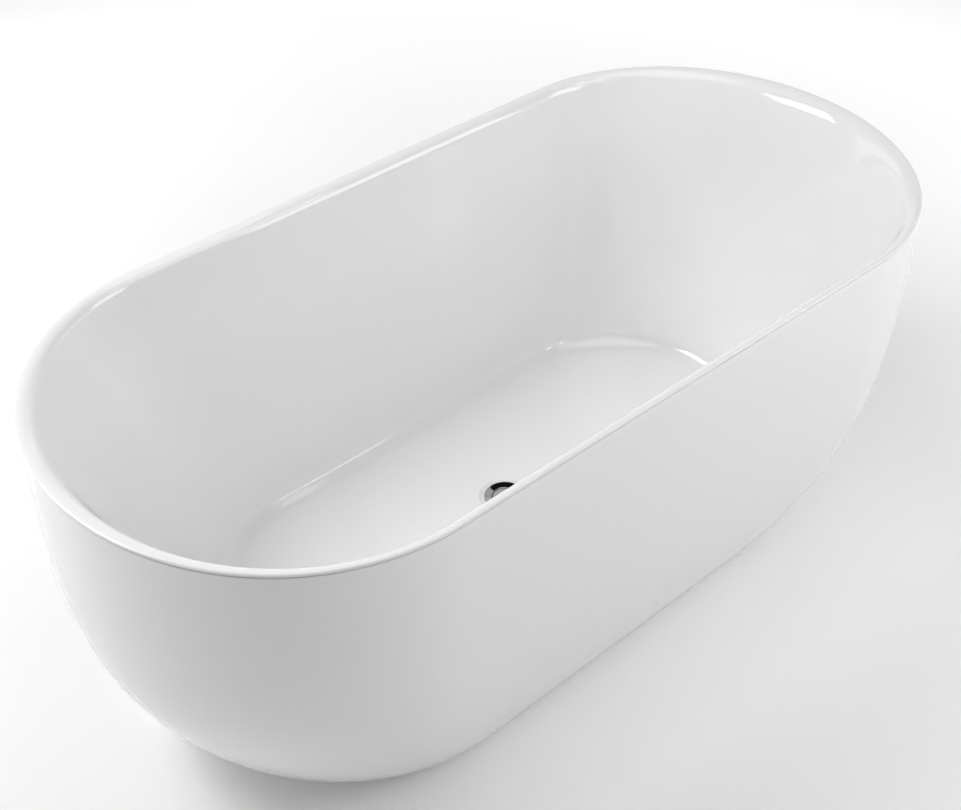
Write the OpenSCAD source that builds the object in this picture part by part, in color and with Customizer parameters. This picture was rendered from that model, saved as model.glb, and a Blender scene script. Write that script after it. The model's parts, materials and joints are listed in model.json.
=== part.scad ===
// Freestanding double-ended bathtub: a drop-in acrylic basin bonded to a one-piece outer skirt,
// carried by a board and a welded steel frame on six screw feet, with a push waste in the floor.
// Millimetres. Origin on the floor, under the centre of the waste. X runs along the bath, Z up.

/* [Rim] */
// Overall length at the rim
bath_length = 1500; // [1450:10:1700]
// Overall width at the rim
bath_width = 723; // [700:1:800]
// Overall height
bath_height = 580; // [560:5:620]
// Length of each half-elliptical end of the rim, measured along the bath
rim_end = 335; // [310:5:360]
// Radius of the lip's outer edge
lip_edge_r = 2; // [1.5:0.5:2.5]
// Width of the roll on the inner side of the lip, along the sides
side_roll_w = 20; // [18:1:26]
// Height of that roll
side_roll_h = 32; // [27:1:36]
// Width of the softer roll at the ends
end_roll_w = 42; // [36:1:46]
// Height of that roll
end_roll_h = 80; // [70:2:90]
// Height of the lip's outer face
lip_face_h = 4.5; // [4:0.5:6]
// Height of the seam between the lip and the skirt
seam_h = 1; // [1:0.5:2]

/* [Skirt] */
// Length of the skirt where it meets the floor
base_length = 1142; // [1120:2:1180]
// Width of the skirt where it meets the floor
base_width = 558; // [550:2:600]
// Length of each half-elliptical end where the skirt meets the floor
base_end = 280; // [270:5:300]
// How late the skirt's ends curve in: a higher number keeps them upright for longer
end_curl = 3.9; // [3:0.1:4.5]
// How late the skirt's sides curve in
side_curl = 3.6; // [3:0.1:4.5]
// Thickness of the skirt
skirt_t = 5; // [4:0.5:6]
// Width of the flange turned in along the skirt's bottom edge
base_flange_w = 35; // [30:1:38]

/* [Basin] */
// Length of the basin's floor, to the corner line under the fillet
floor_length = 1000; // [960:10:1040]
// Width of the basin's floor, to the corner line under the fillet
floor_width = 470; // [460:2:480]
// Length of each half-elliptical end of the basin's floor
floor_end = 224; // [215:1:235]
// Height of the basin's floor at the waste
floor_z = 120; // [118:1:130]
// Fall of the floor from its edge to the waste
floor_fall = 2; // [1:0.5:3]
// Radius between the floor and the walls
fillet_r = 38; // [34:1:42]
// Thickness of the acrylic and its glass-fibre backing
shell_t = 8; // [7.5:0.5:9]

/* [Waste] */
// Diameter of the waste's flange
flange_d = 70; // [68:0.5:74]
// Outer diameter of the waste's thread (G 1 1/2)
thread_d = 47.8; // [47.6:0.1:47.8]
// Diameter of the plug cap
cap_d = 41.6; // [41:0.2:42]
// Height that the cap pops up by
cap_travel = 8; // [5:0.5:8]

/* [Frame] */
// Side of the square frame tube
tube_w = 25; // [25:1:28]
// Wall of the frame tube
tube_t = 1.5; // [1.2:0.1:2]
// Distance between the centre lines of the two long rails
rail_spacing = 300; // [290:5:310]
// Length of the long rails
rail_length = 880; // [860:10:900]
// Thickness of the board under the basin's floor
board_t = 18; // [15:1:18]

/* [Feet] */
// Thread diameter of the levelling feet
stud_d = 12; // [10:1:12]
// Thread pitch of the levelling feet
stud_pitch = 1.75; // [1.5:0.25:1.75]
// Diameter of the foot pads
pad_d = 50; // [44:1:52]
// Distance from the waste to the outer feet, along the bath
foot_reach = 400; // [380:5:400]

/* [Hidden] */

fit = 0.05;       // radial clearance of a shaft that runs in a hole
loose = 0.1;      // radial clearance of a part that only drops over another
round_fn = 96;    // facets of visible round parts
small_fn = 48;    // facets of nuts, screws and studs

// --- shared outline and loft -------------------------------------------------

end_steps = 32;                    // segments round each end of the bath
ring_n = 2 * (end_steps + 1);      // points in one ring

// An oblong with straight sides and half-elliptical ends: half-length, half-width, half the straight.
function oblong(a, b, s, z) = [
    for (side = [1, -1])
        for (i = [0:end_steps])
            let (t = -90 + 180 * i / end_steps)
            [side * (s + (a - s) * cos(t)), side * b * sin(t), z]
];

// The two triangles between point i of ring k and the next point of the next ring.
function strip(k, next) = [
    for (i = [0:ring_n - 1])
        let (j = (i + 1) % ring_n)
        each [
            [k * ring_n + i, k * ring_n + j, next * ring_n + j],
            [k * ring_n + i, next * ring_n + j, next * ring_n + i]
        ]
];

// A ring-shaped solid whose section runs through every ring and back to the first.
module hoop(rings) {
    n = len(rings);
    polyhedron(
        points = [for (ring = rings) each ring],
        faces = [for (k = [0:n - 1]) each strip(k, (k + 1) % n)]
    );
}

// A solid whose skin starts at a flat upper face, runs out over every ring and ends in a flat lower face.
module tray(rings) {
    n = len(rings);
    polyhedron(
        points = [for (ring = rings) each ring],
        faces = concat(
            [[for (i = [ring_n - 1:-1:0]) i]],
            [for (k = [0:n - 2]) each strip(k, k + 1)],
            [[for (i = [0:ring_n - 1]) (n - 1) * ring_n + i]]
        )
    );
}

// --- rim ---------------------------------------------------------------------

rim_a = bath_length / 2;
rim_b = bath_width / 2;
rim_s = rim_a - rim_end;

// A ring that lies a given distance inside the rim's widest line.
function rim_ring(inset, z) = oblong(rim_a - inset, rim_b - inset, rim_s, z);

lip_under_z = bath_height - lip_face_h;
skirt_top_z = lip_under_z - seam_h;
lip_under_w = 9;                   // width of the flat bonding face under the lip
bond_set_back = 1.5;               // depth of the open seam in front of the bond

// --- basin -------------------------------------------------------------------

corner_z = floor_z + floor_fall;
corner_a = floor_length / 2;
corner_b = floor_width / 2;
corner_s = corner_a - floor_end;

// The basin's section in one plane: the rim's half-width, the floor's, and the lip's inner roll.
end_section = [rim_a, corner_a, end_roll_w, end_roll_h];
side_section = [rim_b, corner_b, side_roll_w, side_roll_h];

function roll_z(section) = bath_height - section[3];   // height of the centre of the roll's ellipse

// Where the straight wall leaves the lip's roll, as an angle on the roll's ellipse.
function roll_end(section) =
    let (
        u = (section[0] - lip_edge_r - section[1]) / section[2],
        v = (corner_z - roll_z(section)) / section[3]
    )
    atan2(v, u) + acos(1 / norm([u, v]));

function wall_top_z(section) = roll_z(section) + section[3] * sin(roll_end(section));
function wall_top_reach(section) = section[0] - lip_edge_r - section[2] * cos(roll_end(section));

// How far the straight wall leans out from upright.
function wall_lean(section) =
    atan((wall_top_reach(section) - section[1]) / (wall_top_z(section) - corner_z));

// How far the basin's inner face is from the centre plane at height z: roll, then wall, then fillet.
function inner_reach(z, section) =
    let (
        lean = wall_lean(section),
        over = min(1, (z - roll_z(section)) / section[3]),
        below = corner_z + fillet_r - z
    )
    z > wall_top_z(section) ? section[0] - lip_edge_r - section[2] * sqrt(1 - over * over) :
    below < fillet_r * sin(lean) ? section[1] + (z - corner_z) * tan(lean) :
    section[1] - fillet_r * tan((90 - lean) / 2) + sqrt(max(0, fillet_r * fillet_r - below * below));

// The same for the shell's outer face, one thickness further out.
function outer_reach(z, section) =
    let (
        lean = wall_lean(section),
        back_r = fillet_r + shell_t,
        below = corner_z + fillet_r - z
    )
    below < back_r * sin(lean) ? section[1] + (z - corner_z) * tan(lean) + shell_t / cos(lean) :
    section[1] - fillet_r * tan((90 - lean) / 2) + sqrt(max(0, back_r * back_r - below * below));

// The straight part of the outline shortens from the rim to the floor.
function basin_s(z) =
    corner_s + (rim_s - corner_s) * max(0, min(1, (z - corner_z) / (wall_top_z(end_section) - corner_z)));

function inner_ring(z) = oblong(inner_reach(z, end_section), inner_reach(z, side_section), basin_s(z), z);
function outer_ring(z) = oblong(outer_reach(z, end_section), outer_reach(z, side_section), basin_s(z), z);

side_lean = wall_lean(side_section);
roll_angle = roll_end(side_section);
under_z = corner_z - shell_t;      // flat underside of the basin's floor
fillet_steps = 7;
wall_steps = 4;
roll_steps = 6;
edge_steps = 3;
back_top_z = lip_under_z - 13;     // top of the shell's plain outer wall
fillet_top_z = corner_z + fillet_r * (1 - sin(side_lean));
back_fillet_top_z = corner_z + fillet_r - (fillet_r + shell_t) * sin(side_lean);
wall_top = wall_top_z(side_section);

recess_d = 76;                     // flat seat for the waste's flange
recess_lip_w = 6;                  // soft slope round that seat
recess_depth = 2.5;
drain_hole_d = 51;

// The floor's dished middle, as a ring that surrounds the waste.
function floor_core(z) = oblong(150, 70, 80, z);

module basin_blank() {
    tray(concat(
        [floor_core(floor_z)],
        [for (i = [fillet_steps:-1:0])
            let (phi = side_lean + (90 - side_lean) * i / fillet_steps)
            inner_ring(corner_z + fillet_r * (1 - sin(phi)))],
        [for (i = [1:wall_steps]) inner_ring(fillet_top_z + (wall_top - fillet_top_z) * i / wall_steps)],
        [for (i = [1:roll_steps])
            inner_ring(roll_z(side_section) + side_roll_h * sin(roll_angle + (90 - roll_angle) * i / roll_steps))],
        [for (i = [1:edge_steps])
            let (t = 90 * i / edge_steps)
            rim_ring(lip_edge_r * (1 - sin(t)), bath_height - lip_edge_r * (1 - cos(t)))],
        [rim_ring(0, lip_under_z + 1), rim_ring(1, lip_under_z), rim_ring(lip_under_w, lip_under_z)],
        [for (i = [0:wall_steps]) outer_ring(back_top_z + (back_fillet_top_z - back_top_z) * i / wall_steps)],
        [for (i = [1:fillet_steps])
            let (phi = side_lean + (90 - side_lean) * i / fillet_steps)
            outer_ring(corner_z + fillet_r - (fillet_r + shell_t) * sin(phi))],
        [floor_core(under_z)]
    ));
}

module waste_recess() {
    seat_z = floor_z - recess_depth;
    r = recess_d / 2;
    rotate_extrude($fn = round_fn)
        polygon([
            [0, seat_z],
            [r, seat_z],
            [r + recess_lip_w * 0.3, seat_z + recess_depth * 0.15],
            [r + recess_lip_w * 0.7, seat_z + recess_depth * 0.85],
            [r + recess_lip_w, floor_z],
            [r + recess_lip_w, floor_z + 5],
            [0, floor_z + 5]
        ]);
}

module basin_shell() {
    color("white")
        difference() {
            basin_blank();
            waste_recess();
            translate([0, 0, under_z - 1])
                cylinder(d = drain_hole_d, h = shell_t + 2, $fn = round_fn);
        }
}

// --- skirt -------------------------------------------------------------------

base_a = base_length / 2;
base_b = base_width / 2;
base_s = base_a - base_end;
skirt_edge_r = 1.5;
skirt_steps = 12;

function curl(z, power) = pow(1 - z / bath_height, power);

// Horizontal thickness of the skirt where its wall leans by the given rate.
function slant_t(rate) = skirt_t * sqrt(1 + rate * rate);

// A ring on the skirt's outer face (inner = 0) or on its inner face (inner = 1).
function skirt_ring(z, inner) =
    let (
        ends = curl(z, end_curl),
        sides = curl(z, side_curl),
        end_rate = (rim_a - base_a) * end_curl / bath_height * curl(z, end_curl - 1),
        side_rate = (rim_b - base_b) * side_curl / bath_height * curl(z, side_curl - 1),
        s = rim_s - (rim_s - base_s) * ends
    )
    oblong(
        rim_a - (rim_a - base_a) * ends - inner * slant_t(end_rate),
        rim_b - (rim_b - base_b) * sides - inner * slant_t(side_rate),
        s, z
    );

function base_ring(z) = oblong(base_a - base_flange_w, base_b - base_flange_w, base_s, z);

// Heights close up towards the floor, where the skirt bends most.
function skirt_z(i, low, high) = low + (high - low) * pow(i / skirt_steps, 1.4);

module outer_skirt() {
    flange_w = lip_under_w - 0.5;
    top = skirt_top_z - skirt_edge_r;
    color("white")
        hoop(concat(
            [rim_ring(flange_w, skirt_top_z), rim_ring(skirt_edge_r, skirt_top_z),
             rim_ring(skirt_edge_r * 0.3, skirt_top_z - skirt_edge_r * 0.3)],
            [for (i = [skirt_steps:-1:0]) skirt_ring(skirt_z(i, 0, top), 0)],
            [base_ring(0), base_ring(skirt_t)],
            [for (i = [0:skirt_steps]) skirt_ring(skirt_z(i, skirt_t, skirt_top_z - skirt_t), 1)],
            [rim_ring(flange_w, skirt_top_z - skirt_t)]
        ));
}

module rim_bond() {
    inner = lip_under_w - 1;
    color("gainsboro")
        hoop([
            rim_ring(inner, lip_under_z), rim_ring(bond_set_back, lip_under_z),
            rim_ring(bond_set_back, skirt_top_z), rim_ring(inner, skirt_top_z)
        ]);
}

// --- board -------------------------------------------------------------------

board_z = under_z - board_t;
board_r = corner_b - 40;
board_s = corner_a - 35 - board_r;
board_hole_d = 88;                 // room for the waste's backnut
board_screw_x = [-300, -70, 70, 300];
rail_y = rail_spacing / 2;

module floor_board() {
    color("burlywood")
        difference() {
            translate([0, 0, board_z])
                linear_extrude(board_t) {
                    square([2 * board_s, 2 * board_r], center = true);
                    for (side = [-1, 1])
                        translate([side * board_s, 0])
                            circle(r = board_r, $fn = round_fn);
                }
            translate([0, 0, board_z - 1])
                cylinder(d = board_hole_d, h = board_t + 2, $fn = round_fn);
            for (x = board_screw_x, side = [-1, 1])
                translate([x, side * rail_y, board_z - 1])
                    cylinder(r = screw_r + fit, h = screw_bite + 2, $fn = small_fn);
        }
}

// --- frame -------------------------------------------------------------------

rail_z = board_z - tube_w;         // underside of the rails
inner_bar_x = 140;
bar_x = [-foot_reach, -inner_bar_x, inner_bar_x, foot_reach];
screw_r = 2.45;
screw_bite = 12;                   // depth of the screws in the board
bracket_x = 250;
bracket_w = 40;
bracket_t = 3;
bracket_screw_gap = 20;            // distance between the two screws of one bracket leg
small_screw_r = 1.9;

// A hollow square tube along X, centred on the origin.
module square_tube(length) {
    difference() {
        cube([length, tube_w, tube_w], center = true);
        cube([length + 2, tube_w - 2 * tube_t, tube_w - 2 * tube_t], center = true);
    }
}

// side is -1 or 1: which side of the bath the rail is on.
module rail(side) {
    color("dimgray")
        difference() {
            translate([0, side * rail_y, rail_z + tube_w / 2])
                square_tube(rail_length);
            for (x = [-foot_reach, 0, foot_reach])
                translate([x, side * rail_y, rail_z - 1])
                    cylinder(d = stud_d + 1, h = tube_t + 2, $fn = small_fn);
            for (x = board_screw_x)
                translate([x, side * rail_y, rail_z - 1])
                    cylinder(r = screw_r + loose, h = tube_w + 2, $fn = small_fn);
            for (x = [-bracket_x, bracket_x], dx = [-0.5, 0.5])
                translate([x + dx * bracket_screw_gap, side * rail_y, bracket_screw_z])
                    rotate([-90 * side, 0, 0])
                        cylinder(r = small_screw_r + fit, h = tube_w, $fn = small_fn);
        }
}

module crossbar(x) {
    color("dimgray")
        translate([x, 0, rail_z + tube_w / 2])
            rotate([0, 0, 90])
                square_tube(rail_spacing - tube_w);
}

// Plastic plugs in the open ends of the rails.
module rail_end_plugs() {
    plug_w = tube_w - 2 * tube_t - 2 * loose;
    head_t = 2.5;
    insert = 12;
    color("black")
        for (end = [-1, 1], side = [-1, 1])
            translate([end * rail_length / 2, side * rail_y, rail_z + tube_w / 2]) {
                translate([end * head_t / 2, 0, 0])
                    cube([head_t, tube_w, tube_w], center = true);
                translate([-end * insert / 2, 0, 0])
                    cube([insert + 0.02, plug_w, plug_w], center = true);
            }
}

// Pan-headed screws up through the rails into the board.
module board_screws() {
    head_h = 3;
    color("silver")
        for (x = board_screw_x, side = [-1, 1])
            translate([x, side * rail_y, rail_z]) {
                translate([0, 0, -head_h])
                    cylinder(r1 = 3.4, r2 = 4.8, h = head_h, $fn = small_fn);
                cylinder(r = screw_r, h = tube_w + screw_bite, $fn = small_fn);
            }
}

// --- feet --------------------------------------------------------------------

foot_places = [
    [-foot_reach, -rail_y], [0, -rail_y], [foot_reach, -rail_y],
    [-foot_reach, rail_y], [0, rail_y], [foot_reach, rail_y]
];
weld_nut_h = 10;
locknut_h = 6;
nut_af = 19;                       // across the flats
stud_foot_z = 5.5;                 // bottom of the stud, inside the pad
stud_top_z = rail_z + tube_w - 13.5;
pad_h = 18;
pad_flat = 3;
pad_neck_d = 26;
hex_h = 7;

module hex_prism(across_flats, h) {
    cylinder(d = across_flats / cos(30), h = h, $fn = 6);
}

module stud_nut(h) {
    difference() {
        hex_prism(nut_af, h);
        translate([0, 0, -1])
            cylinder(r = stud_d / 2 + fit, h = h + 2, $fn = small_fn);
    }
}

module foot_weld_nuts() {
    color("dimgray")
        for (place = foot_places)
            translate([place.x, place.y, rail_z - weld_nut_h])
                stud_nut(weld_nut_h);
}

// Locknuts run up against the weld nuts.
module foot_locknuts() {
    color("silver")
        for (place = foot_places)
            translate([place.x, place.y, rail_z - weld_nut_h - locknut_h])
                rotate([0, 0, 15])
                    stud_nut(locknut_h);
}

// A threaded stud with a hexagon for the spanner, standing in its pad.
module foot_stud(n) {
    place = foot_places[n - 1];
    color("silver")
        translate([place.x, place.y, 0]) {
            translate([0, 0, stud_foot_z])
                cylinder(d = stud_d, h = stud_top_z - stud_foot_z - 1.5, $fn = small_fn);
            translate([0, 0, stud_top_z - 1.5])
                cylinder(d1 = stud_d, d2 = stud_d - 3, h = 1.5, $fn = small_fn);
            translate([0, 0, pad_h + 0.2])
                hex_prism(nut_af - 2, hex_h);
        }
}

module foot_pad(n) {
    place = foot_places[n - 1];
    color("black")
        translate([place.x, place.y, 0])
            difference() {
                rotate_extrude($fn = round_fn)
                    polygon([
                        [0, 0], [pad_d / 2 - 1, 0], [pad_d / 2, 1], [pad_d / 2, pad_flat],
                        [pad_d / 2 - 3, pad_flat + 2.5], [pad_neck_d / 2 + 1, pad_h - 4],
                        [pad_neck_d / 2, pad_h - 1], [pad_neck_d / 2 - 1, pad_h], [0, pad_h]
                    ]);
                translate([0, 0, stud_foot_z - 0.2])
                    cylinder(r = stud_d / 2 + fit, h = pad_h, $fn = small_fn);
            }
}

// --- fixings between the frame and the skirt -----------------------------------

block_l = 80;
block_w = 24;
block_h = 35;
block_y = base_b - base_flange_w + 2 + block_w / 2;
block_top_z = skirt_t + block_h;
bracket_screw_z = rail_z + tube_w / 2;
bracket_places = [[-bracket_x, -1], [bracket_x, -1], [-bracket_x, 1], [bracket_x, 1]];
rail_face_y = rail_y + tube_w / 2;

// Timber blocks bonded inside the skirt, on its bottom flange.
module skirt_block(n) {
    place = bracket_places[n - 1];
    color("peru")
        difference() {
            translate([place.x, place.y * block_y, skirt_t + block_h / 2])
                cube([block_l, block_w, block_h], center = true);
            for (dx = [-0.5, 0.5])
                translate([place.x + dx * bracket_screw_gap, place.y * block_y, block_top_z - 25])
                    cylinder(r = small_screw_r + fit, h = 26, $fn = small_fn);
        }
}

// A steel angle from the rail's outer face to the top of the block.
module skirt_bracket(n) {
    place = bracket_places[n - 1];
    leg_h = rail_z + tube_w - 4 - block_top_z;
    foot_w = block_y + block_w / 2 - 2 - rail_face_y;
    color("silver")
        translate([place.x, 0, 0])
            difference() {
                union() {
                    translate([0, place.y * (rail_face_y + bracket_t / 2), block_top_z + leg_h / 2])
                        cube([bracket_w, bracket_t, leg_h], center = true);
                    translate([0, place.y * (rail_face_y + foot_w / 2), block_top_z + bracket_t / 2])
                        cube([bracket_w, foot_w, bracket_t], center = true);
                }
                for (dx = [-0.5, 0.5]) {
                    translate([dx * bracket_screw_gap, place.y * (rail_face_y - 1), bracket_screw_z])
                        rotate([-90 * place.y, 0, 0])
                            cylinder(r = small_screw_r + loose, h = bracket_t + 2, $fn = small_fn);
                    translate([dx * bracket_screw_gap, place.y * block_y, block_top_z - 1])
                        cylinder(r = small_screw_r + loose, h = bracket_t + 2, $fn = small_fn);
                }
            }
}

// A small screw pointing down from z = 0, with its head above.
module small_screw(length) {
    head_h = 2.4;
    cylinder(r1 = 3.8, r2 = 2.8, h = head_h, $fn = small_fn);
    translate([0, 0, -length])
        cylinder(r = small_screw_r, h = length + 0.02, $fn = small_fn);
}

module bracket_screws() {
    color("silver")
        for (place = bracket_places, dx = [-0.5, 0.5])
            translate([
                place.x + dx * bracket_screw_gap,
                place.y * (rail_face_y + bracket_t),
                bracket_screw_z
            ])
                rotate([-90 * place.y, 0, 0])
                    small_screw(12);
}

module block_screws() {
    color("silver")
        for (place = bracket_places, dx = [-0.5, 0.5])
            translate([
                place.x + dx * bracket_screw_gap,
                place.y * block_y,
                block_top_z + bracket_t
            ])
                small_screw(26);
}

// --- waste -------------------------------------------------------------------

flange_r = flange_d / 2;
thread_r = thread_d / 2;
cap_r = cap_d / 2;
throat_r = cap_r + 1.1;
seat_r = 19.4;                     // narrowest part of the throat, under the seal
tail_r = 21.4;                     // bore of the tail
gasket_t = 0.8;
recess_z = floor_z - recess_depth;
flange_z = recess_z + gasket_t;    // underside of the flange
flange_h = 2.5;
tail_z = 60;                       // bottom of the tail
hub_z = 74;                        // underside of the spider that carries the cartridge
hub_h = 6;
hub_r = 8;
hub_hole_r = 5;
under_gasket_t = 4;
slip_t = 1.5;
backnut_h = 10;
backnut_af = 60;
slip_z = under_z - under_gasket_t - slip_t;
backnut_z = slip_z - backnut_h;
relief_h = 2;                      // groove between the nut's thread and the trap's
relief_z = backnut_z - 0.5 - relief_h;
relief_r = thread_r - 0.9;

// Chrome flange, dished throat with a seat for the seal, threaded tail and inner spider.
module waste_body() {
    top = flange_z + flange_h;
    dish_r = throat_r + 0.8;
    dish_w = flange_r - 2 - dish_r;
    dish_depth = 1.9;
    dish_steps = 8;
    color("lightgray") {
        rotate_extrude($fn = round_fn)
            polygon(concat(
                [[tail_r, tail_z], [thread_r, tail_z],
                 [thread_r, relief_z], [relief_r, relief_z],
                 [relief_r, relief_z + relief_h], [thread_r, relief_z + relief_h], [thread_r, flange_z],
                 [flange_r - 0.5, flange_z], [flange_r, flange_z + 0.5], [flange_r, top - 1.2],
                 [flange_r - 0.4, top - 0.4], [flange_r - 1.2, top]],
                [for (i = [0:dish_steps])
                    let (u = i / dish_steps)
                    [dish_r + dish_w * (1 - u), top - dish_depth * sin(90 * u)]],
                [[throat_r + 0.2, top - dish_depth - 0.2], [throat_r, top - dish_depth - 0.6],
                 [throat_r, flange_z - 3.8], [seat_r, flange_z - 7.8],
                 [seat_r, flange_z - 10], [tail_r, flange_z - 12.5]]
            ));
        difference() {
            translate([0, 0, hub_z]) {
                cylinder(r = hub_r, h = hub_h, $fn = round_fn);
                for (turn = [0, 90])
                    rotate([0, 0, turn])
                        translate([-tail_r - 1, -1.5, 0])
                            cube([2 * tail_r + 2, 3, hub_h]);
            }
            translate([0, 0, hub_z - 1])
                cylinder(r = hub_hole_r, h = hub_h + 2, $fn = small_fn);
        }
    }
}

// A flat ring standing on height z.
module flat_ring(inner_r, outer_r, z, h) {
    translate([0, 0, z])
        difference() {
            cylinder(r = outer_r, h = h, $fn = round_fn);
            translate([0, 0, -1])
                cylinder(r = inner_r, h = h + 2, $fn = round_fn);
        }
}

module flange_gasket() {
    color("whitesmoke")
        flat_ring(thread_r + 1.7, flange_r - 1.5, recess_z, gasket_t);
}

module under_gasket() {
    color("black")
        flat_ring(thread_r + 0.2, 34, under_z - under_gasket_t, under_gasket_t);
}

module slip_washer() {
    color("white")
        flat_ring(thread_r + 0.2, 33, slip_z, slip_t);
}

module waste_backnut() {
    color("goldenrod")
        translate([0, 0, backnut_z])
            difference() {
                intersection() {
                    hex_prism(backnut_af, backnut_h);
                    cylinder(r1 = 32.2, r2 = 45, h = backnut_h, $fn = round_fn);
                }
                translate([0, 0, -1])
                    cylinder(r = thread_r + loose, h = backnut_h + 2, $fn = round_fn);
            }
}

stem_r = 3.5;
piston_r = 6.9;
piston_z = 94;                     // underside of the piston with the plug down
piston_h = 3;
cartridge_z = hub_z + hub_h;
cartridge_top = cartridge_z + 28;
cavity_r = 7;
cavity_z = cartridge_z + 2;
cavity_top = cartridge_top - 2;

// The push cartridge: its stub screws into the spider and its barrel holds the spring and piston.
module push_cartridge() {
    color("gainsboro")
        rotate_extrude($fn = round_fn)
            polygon([
                [0, hub_z - 2], [hub_hole_r - fit, hub_z - 2], [hub_hole_r - fit, cartridge_z],
                [9, cartridge_z], [9, cartridge_top - 1], [8, cartridge_top],
                [stem_r + fit, cartridge_top], [stem_r + fit, cavity_top],
                [cavity_r, cavity_top], [cavity_r, cavity_z], [0, cavity_z]
            ]);
}

cap_top_z = flange_z + flange_h - 1.6;
cap_plate_h = 3.4;
cap_hub_z = cartridge_top + 1.5;

module plug_stem() {
    color("silver") {
        translate([0, 0, piston_z])
            cylinder(r = piston_r, h = piston_h, $fn = small_fn);
        translate([0, 0, piston_z + piston_h - 0.02])
            cylinder(r = stem_r, h = cap_top_z - 5 - piston_z - piston_h, $fn = small_fn);
    }
}

seal_top = cap_top_z - cap_plate_h;
seal_h = 3;
seal_r = 20.6;
neck_r = 16;

// A thin, slightly domed cap on a neck, with a hub for the stem.
module plug_cap() {
    edge = 1.2;
    dome = 0.5;
    steps = 6;
    color("lightgray")
        difference() {
            rotate_extrude($fn = round_fn)
                polygon(concat(
                    [[0, cap_hub_z], [6, cap_hub_z], [6, seal_top - seal_h - 2], [neck_r + 1.5, seal_top - seal_h - 2],
                     [neck_r + 1.5, seal_top - seal_h], [neck_r, seal_top - seal_h], [neck_r, seal_top],
                     [cap_r - 0.4, seal_top], [cap_r, seal_top + 0.4]],
                    [for (i = [0:steps])
                        let (t = 90 * i / steps)
                        [cap_r - edge + edge * cos(t), cap_top_z - dome - edge + edge * sin(t)]],
                    [for (i = [1:steps])
                        let (u = 1 - i / steps)
                        [(cap_r - edge) * u, cap_top_z - dome * u * u]]
                ));
            translate([0, 0, cap_hub_z - 1])
                cylinder(r = stem_r + fit, h = cap_top_z - 4.6 - cap_hub_z + 1, $fn = small_fn);
        }
}

module cap_seal() {
    corner = 1.2;
    steps = 5;
    base = seal_top - seal_h;
    color("black")
        rotate_extrude($fn = round_fn)
            polygon(concat(
                [[neck_r + fit, seal_top], [neck_r + fit, base]],
                [for (i = [0:steps])
                    let (t = -90 + 90 * i / steps)
                    [seal_r - corner + corner * cos(t), base + corner + corner * sin(t)]],
                [[seal_r, seal_top - 0.6], [seal_r - 0.6, seal_top]]
            ));
}

spring_wire_r = 0.6;
spring_r = 5.4;
spring_turns = 5;
spring_turn_steps = 16;
spring_sides = 6;

// A coil from the floor of the cartridge to the piston, as rings of points along a helix.
module cartridge_spring() {
    n = spring_turns * spring_turn_steps;
    low = cavity_z + spring_wire_r + 0.1;
    high = piston_z - spring_wire_r - 0.1;
    points = [
        for (k = [0:n])
            let (turn = 360 * k / spring_turn_steps, z = low + (high - low) * k / n)
            for (j = [0:spring_sides - 1])
                let (
                    a = 360 * j / spring_sides,
                    r = spring_r + spring_wire_r * cos(a)
                )
                [r * cos(turn), r * sin(turn), z + spring_wire_r * sin(a)]
    ];
    sides = [
        for (k = [0:n - 1], j = [0:spring_sides - 1])
            let (
                p = k * spring_sides + j,
                q = k * spring_sides + (j + 1) % spring_sides
            )
            each [[p, q, q + spring_sides], [p, q + spring_sides, p + spring_sides]]
    ];
    start = [for (j = [spring_sides - 1:-1:0]) j];
    finish = [for (j = [0:spring_sides - 1]) n * spring_sides + j];
    color("silver")
        polyhedron(points = points, faces = concat([start], sides, [finish]));
}

// --- assembly ------------------------------------------------------------------

basin_shell();
outer_skirt();
rim_bond();
floor_board();
rail(1);  // rail_left
rail(-1);  // rail_right
crossbar(bar_x[0]);  // crossbar_1
crossbar(bar_x[1]);  // crossbar_2
crossbar(bar_x[2]);  // crossbar_3
crossbar(bar_x[3]);  // crossbar_4
rail_end_plugs();
board_screws();
foot_weld_nuts();
foot_locknuts();
foot_stud(1);  // foot_stud_1
foot_stud(2);  // foot_stud_2
foot_stud(3);  // foot_stud_3
foot_stud(4);  // foot_stud_4
foot_stud(5);  // foot_stud_5
foot_stud(6);  // foot_stud_6
foot_pad(1);  // foot_pad_1
foot_pad(2);  // foot_pad_2
foot_pad(3);  // foot_pad_3
foot_pad(4);  // foot_pad_4
foot_pad(5);  // foot_pad_5
foot_pad(6);  // foot_pad_6
skirt_block(1);  // skirt_block_1
skirt_block(2);  // skirt_block_2
skirt_block(3);  // skirt_block_3
skirt_block(4);  // skirt_block_4
skirt_bracket(1);  // skirt_bracket_1
skirt_bracket(2);  // skirt_bracket_2
skirt_bracket(3);  // skirt_bracket_3
skirt_bracket(4);  // skirt_bracket_4
bracket_screws();
block_screws();
waste_body();
flange_gasket();
under_gasket();
slip_washer();
waste_backnut();
push_cartridge();
plug_stem();
cartridge_spring();
plug_cap();
cap_seal();
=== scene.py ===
"""Looks of the freestanding bathtub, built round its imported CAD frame.

Metres. The origin is on the floor under the waste, X runs along the bath and Z is up.
"""

import json
import math

import bpy
import numpy as np
from mathutils import Matrix, Vector


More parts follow.
